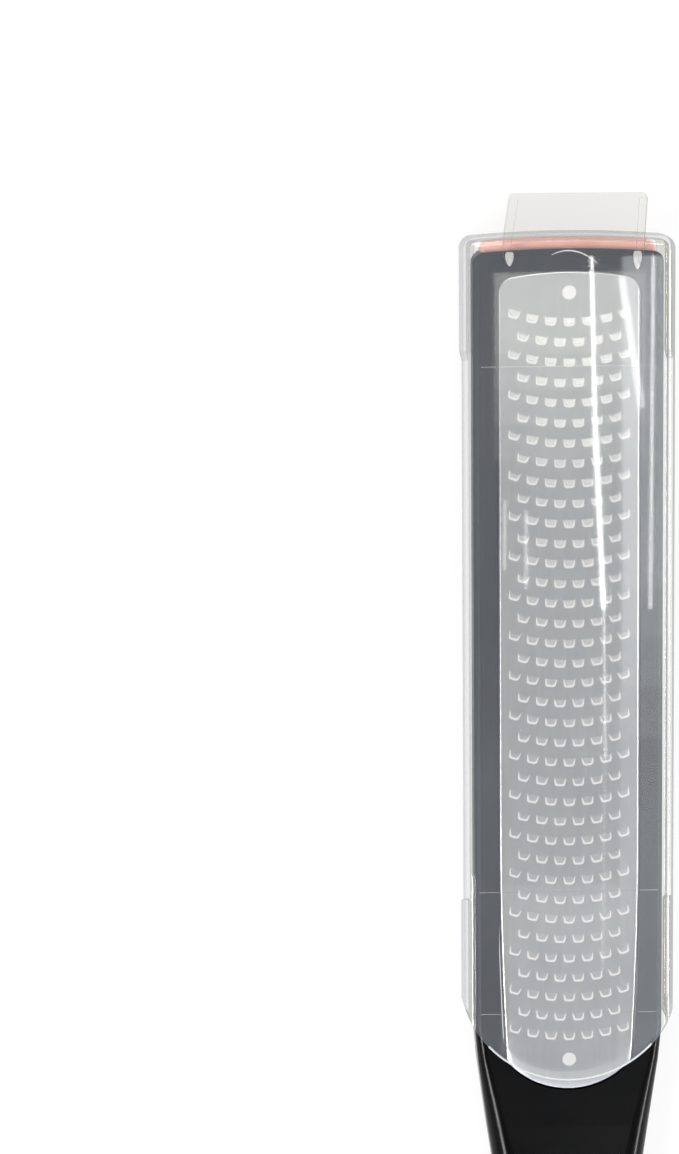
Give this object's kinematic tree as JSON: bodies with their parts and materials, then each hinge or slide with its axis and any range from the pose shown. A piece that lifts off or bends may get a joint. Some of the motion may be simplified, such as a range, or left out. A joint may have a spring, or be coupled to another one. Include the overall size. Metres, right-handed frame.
{
  "type": "rasp zester",
  "caption": "Long handheld rasp grater: an etched sheet blade clamped in a slim frame with a shaped handle, and a slip-on channel cover.",
  "frame": {"origin": "middle of the tool's flat underside, halfway between the handle's end and the cover's tab end", "axes": "+Y along the tool to its tip, +Z out of the blade's cutting face, +X to the right seen from above"},
  "size_m": [0.0424, 0.329, 0.0177],
  "materials": {
    "cover_plastic": "frosted clear polypropylene",
    "blade_steel": "etched stainless steel, satin",
    "frame_plastic": "satin black moulding",
    "handle_plastic": "smooth soft-touch black",
    "foot_rubber": "matte coral rubber"
  },
  "bodies": {
    "tool": {"frame": "frame_plastic", "handle": "handle_plastic", "blade": "blade_steel", "bezel": "frame_plastic", "tip_foot": "foot_rubber"},
    "cover": {"cover": "cover_plastic"}
  },
  "joints": [
    {"name": "cover_slide", "type": "slide", "parent": "tool", "child": "cover", "axis": [0, 1, 0], "range_m": [0, 0.18]}
  ]
}
